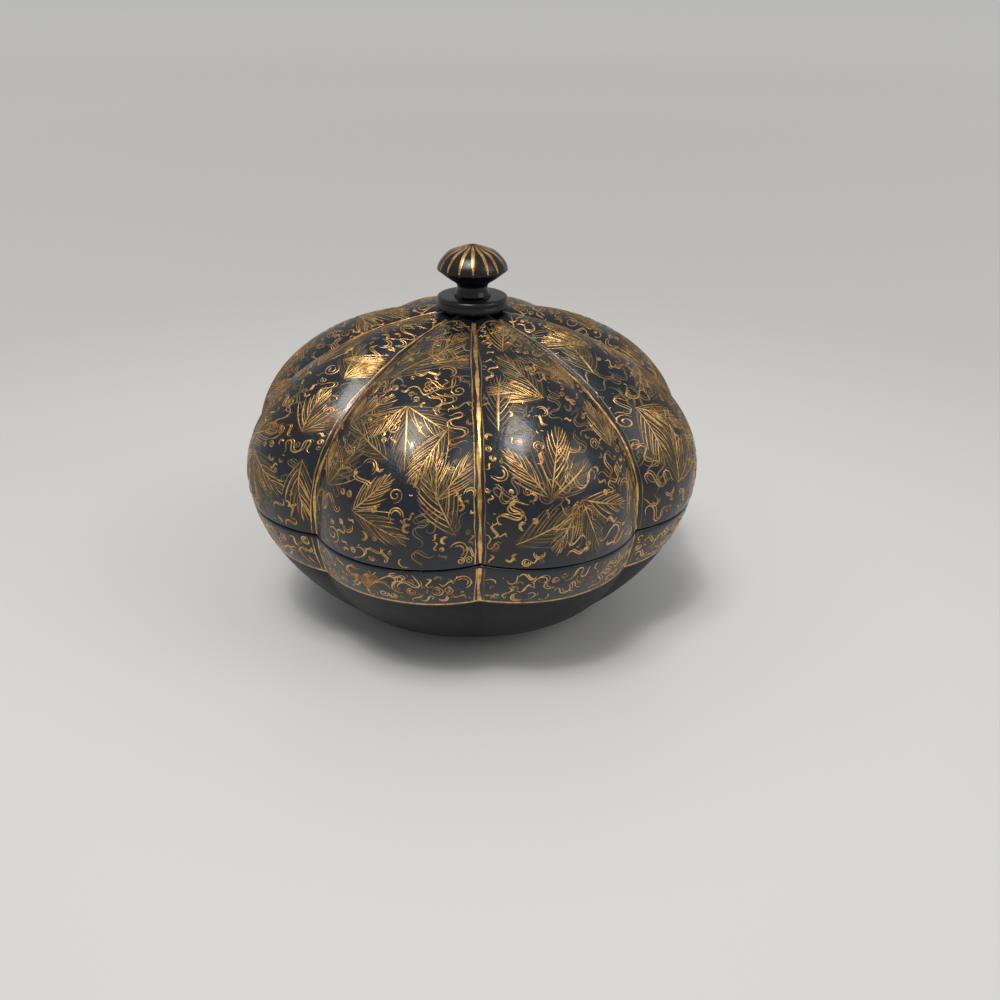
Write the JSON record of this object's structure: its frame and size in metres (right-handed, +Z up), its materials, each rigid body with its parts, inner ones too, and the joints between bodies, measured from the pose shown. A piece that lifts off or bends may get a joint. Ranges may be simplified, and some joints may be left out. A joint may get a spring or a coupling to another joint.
{
  "type": "papier-mache powder box",
  "caption": "Round lobed papier-mache powder box: a bowl, a lid that lifts straight off an inner rim, and a turned mushroom finial.",
  "frame": {"origin": "on the axis, at the underside of the foot", "axes": "+Z up along the axis of the bowl and lid, -Y towards a groove at the front"},
  "size_m": [0.107, 0.107, 0.0901],
  "materials": {
    "painted_bowl": "dark lacquer with a painted gold band",
    "plain_lacquer": "satin dark lacquer",
    "inner_lacquer": "satin black lacquer",
    "painted_lid": "navy and teal lacquer with fine gold leaves and curls",
    "black_lacquer": "gloss black lacquer on turned wood",
    "striped_lacquer": "gloss black lacquer with gold wedges on turned wood"
  },
  "bodies": {
    "bowl": {"bowl_shell": "painted_bowl", "foot_disc": "plain_lacquer", "rim_collar": "inner_lacquer"},
    "lid": {"lid_shell": "painted_lid", "finial_base": "black_lacquer", "finial_knob": "striped_lacquer"}
  },
  "joints": [
    {"name": "lid_lift", "type": "slide", "parent": "bowl", "child": "lid", "axis": [0, 0, 1], "range_m": [0, 0.025]}
  ]
}
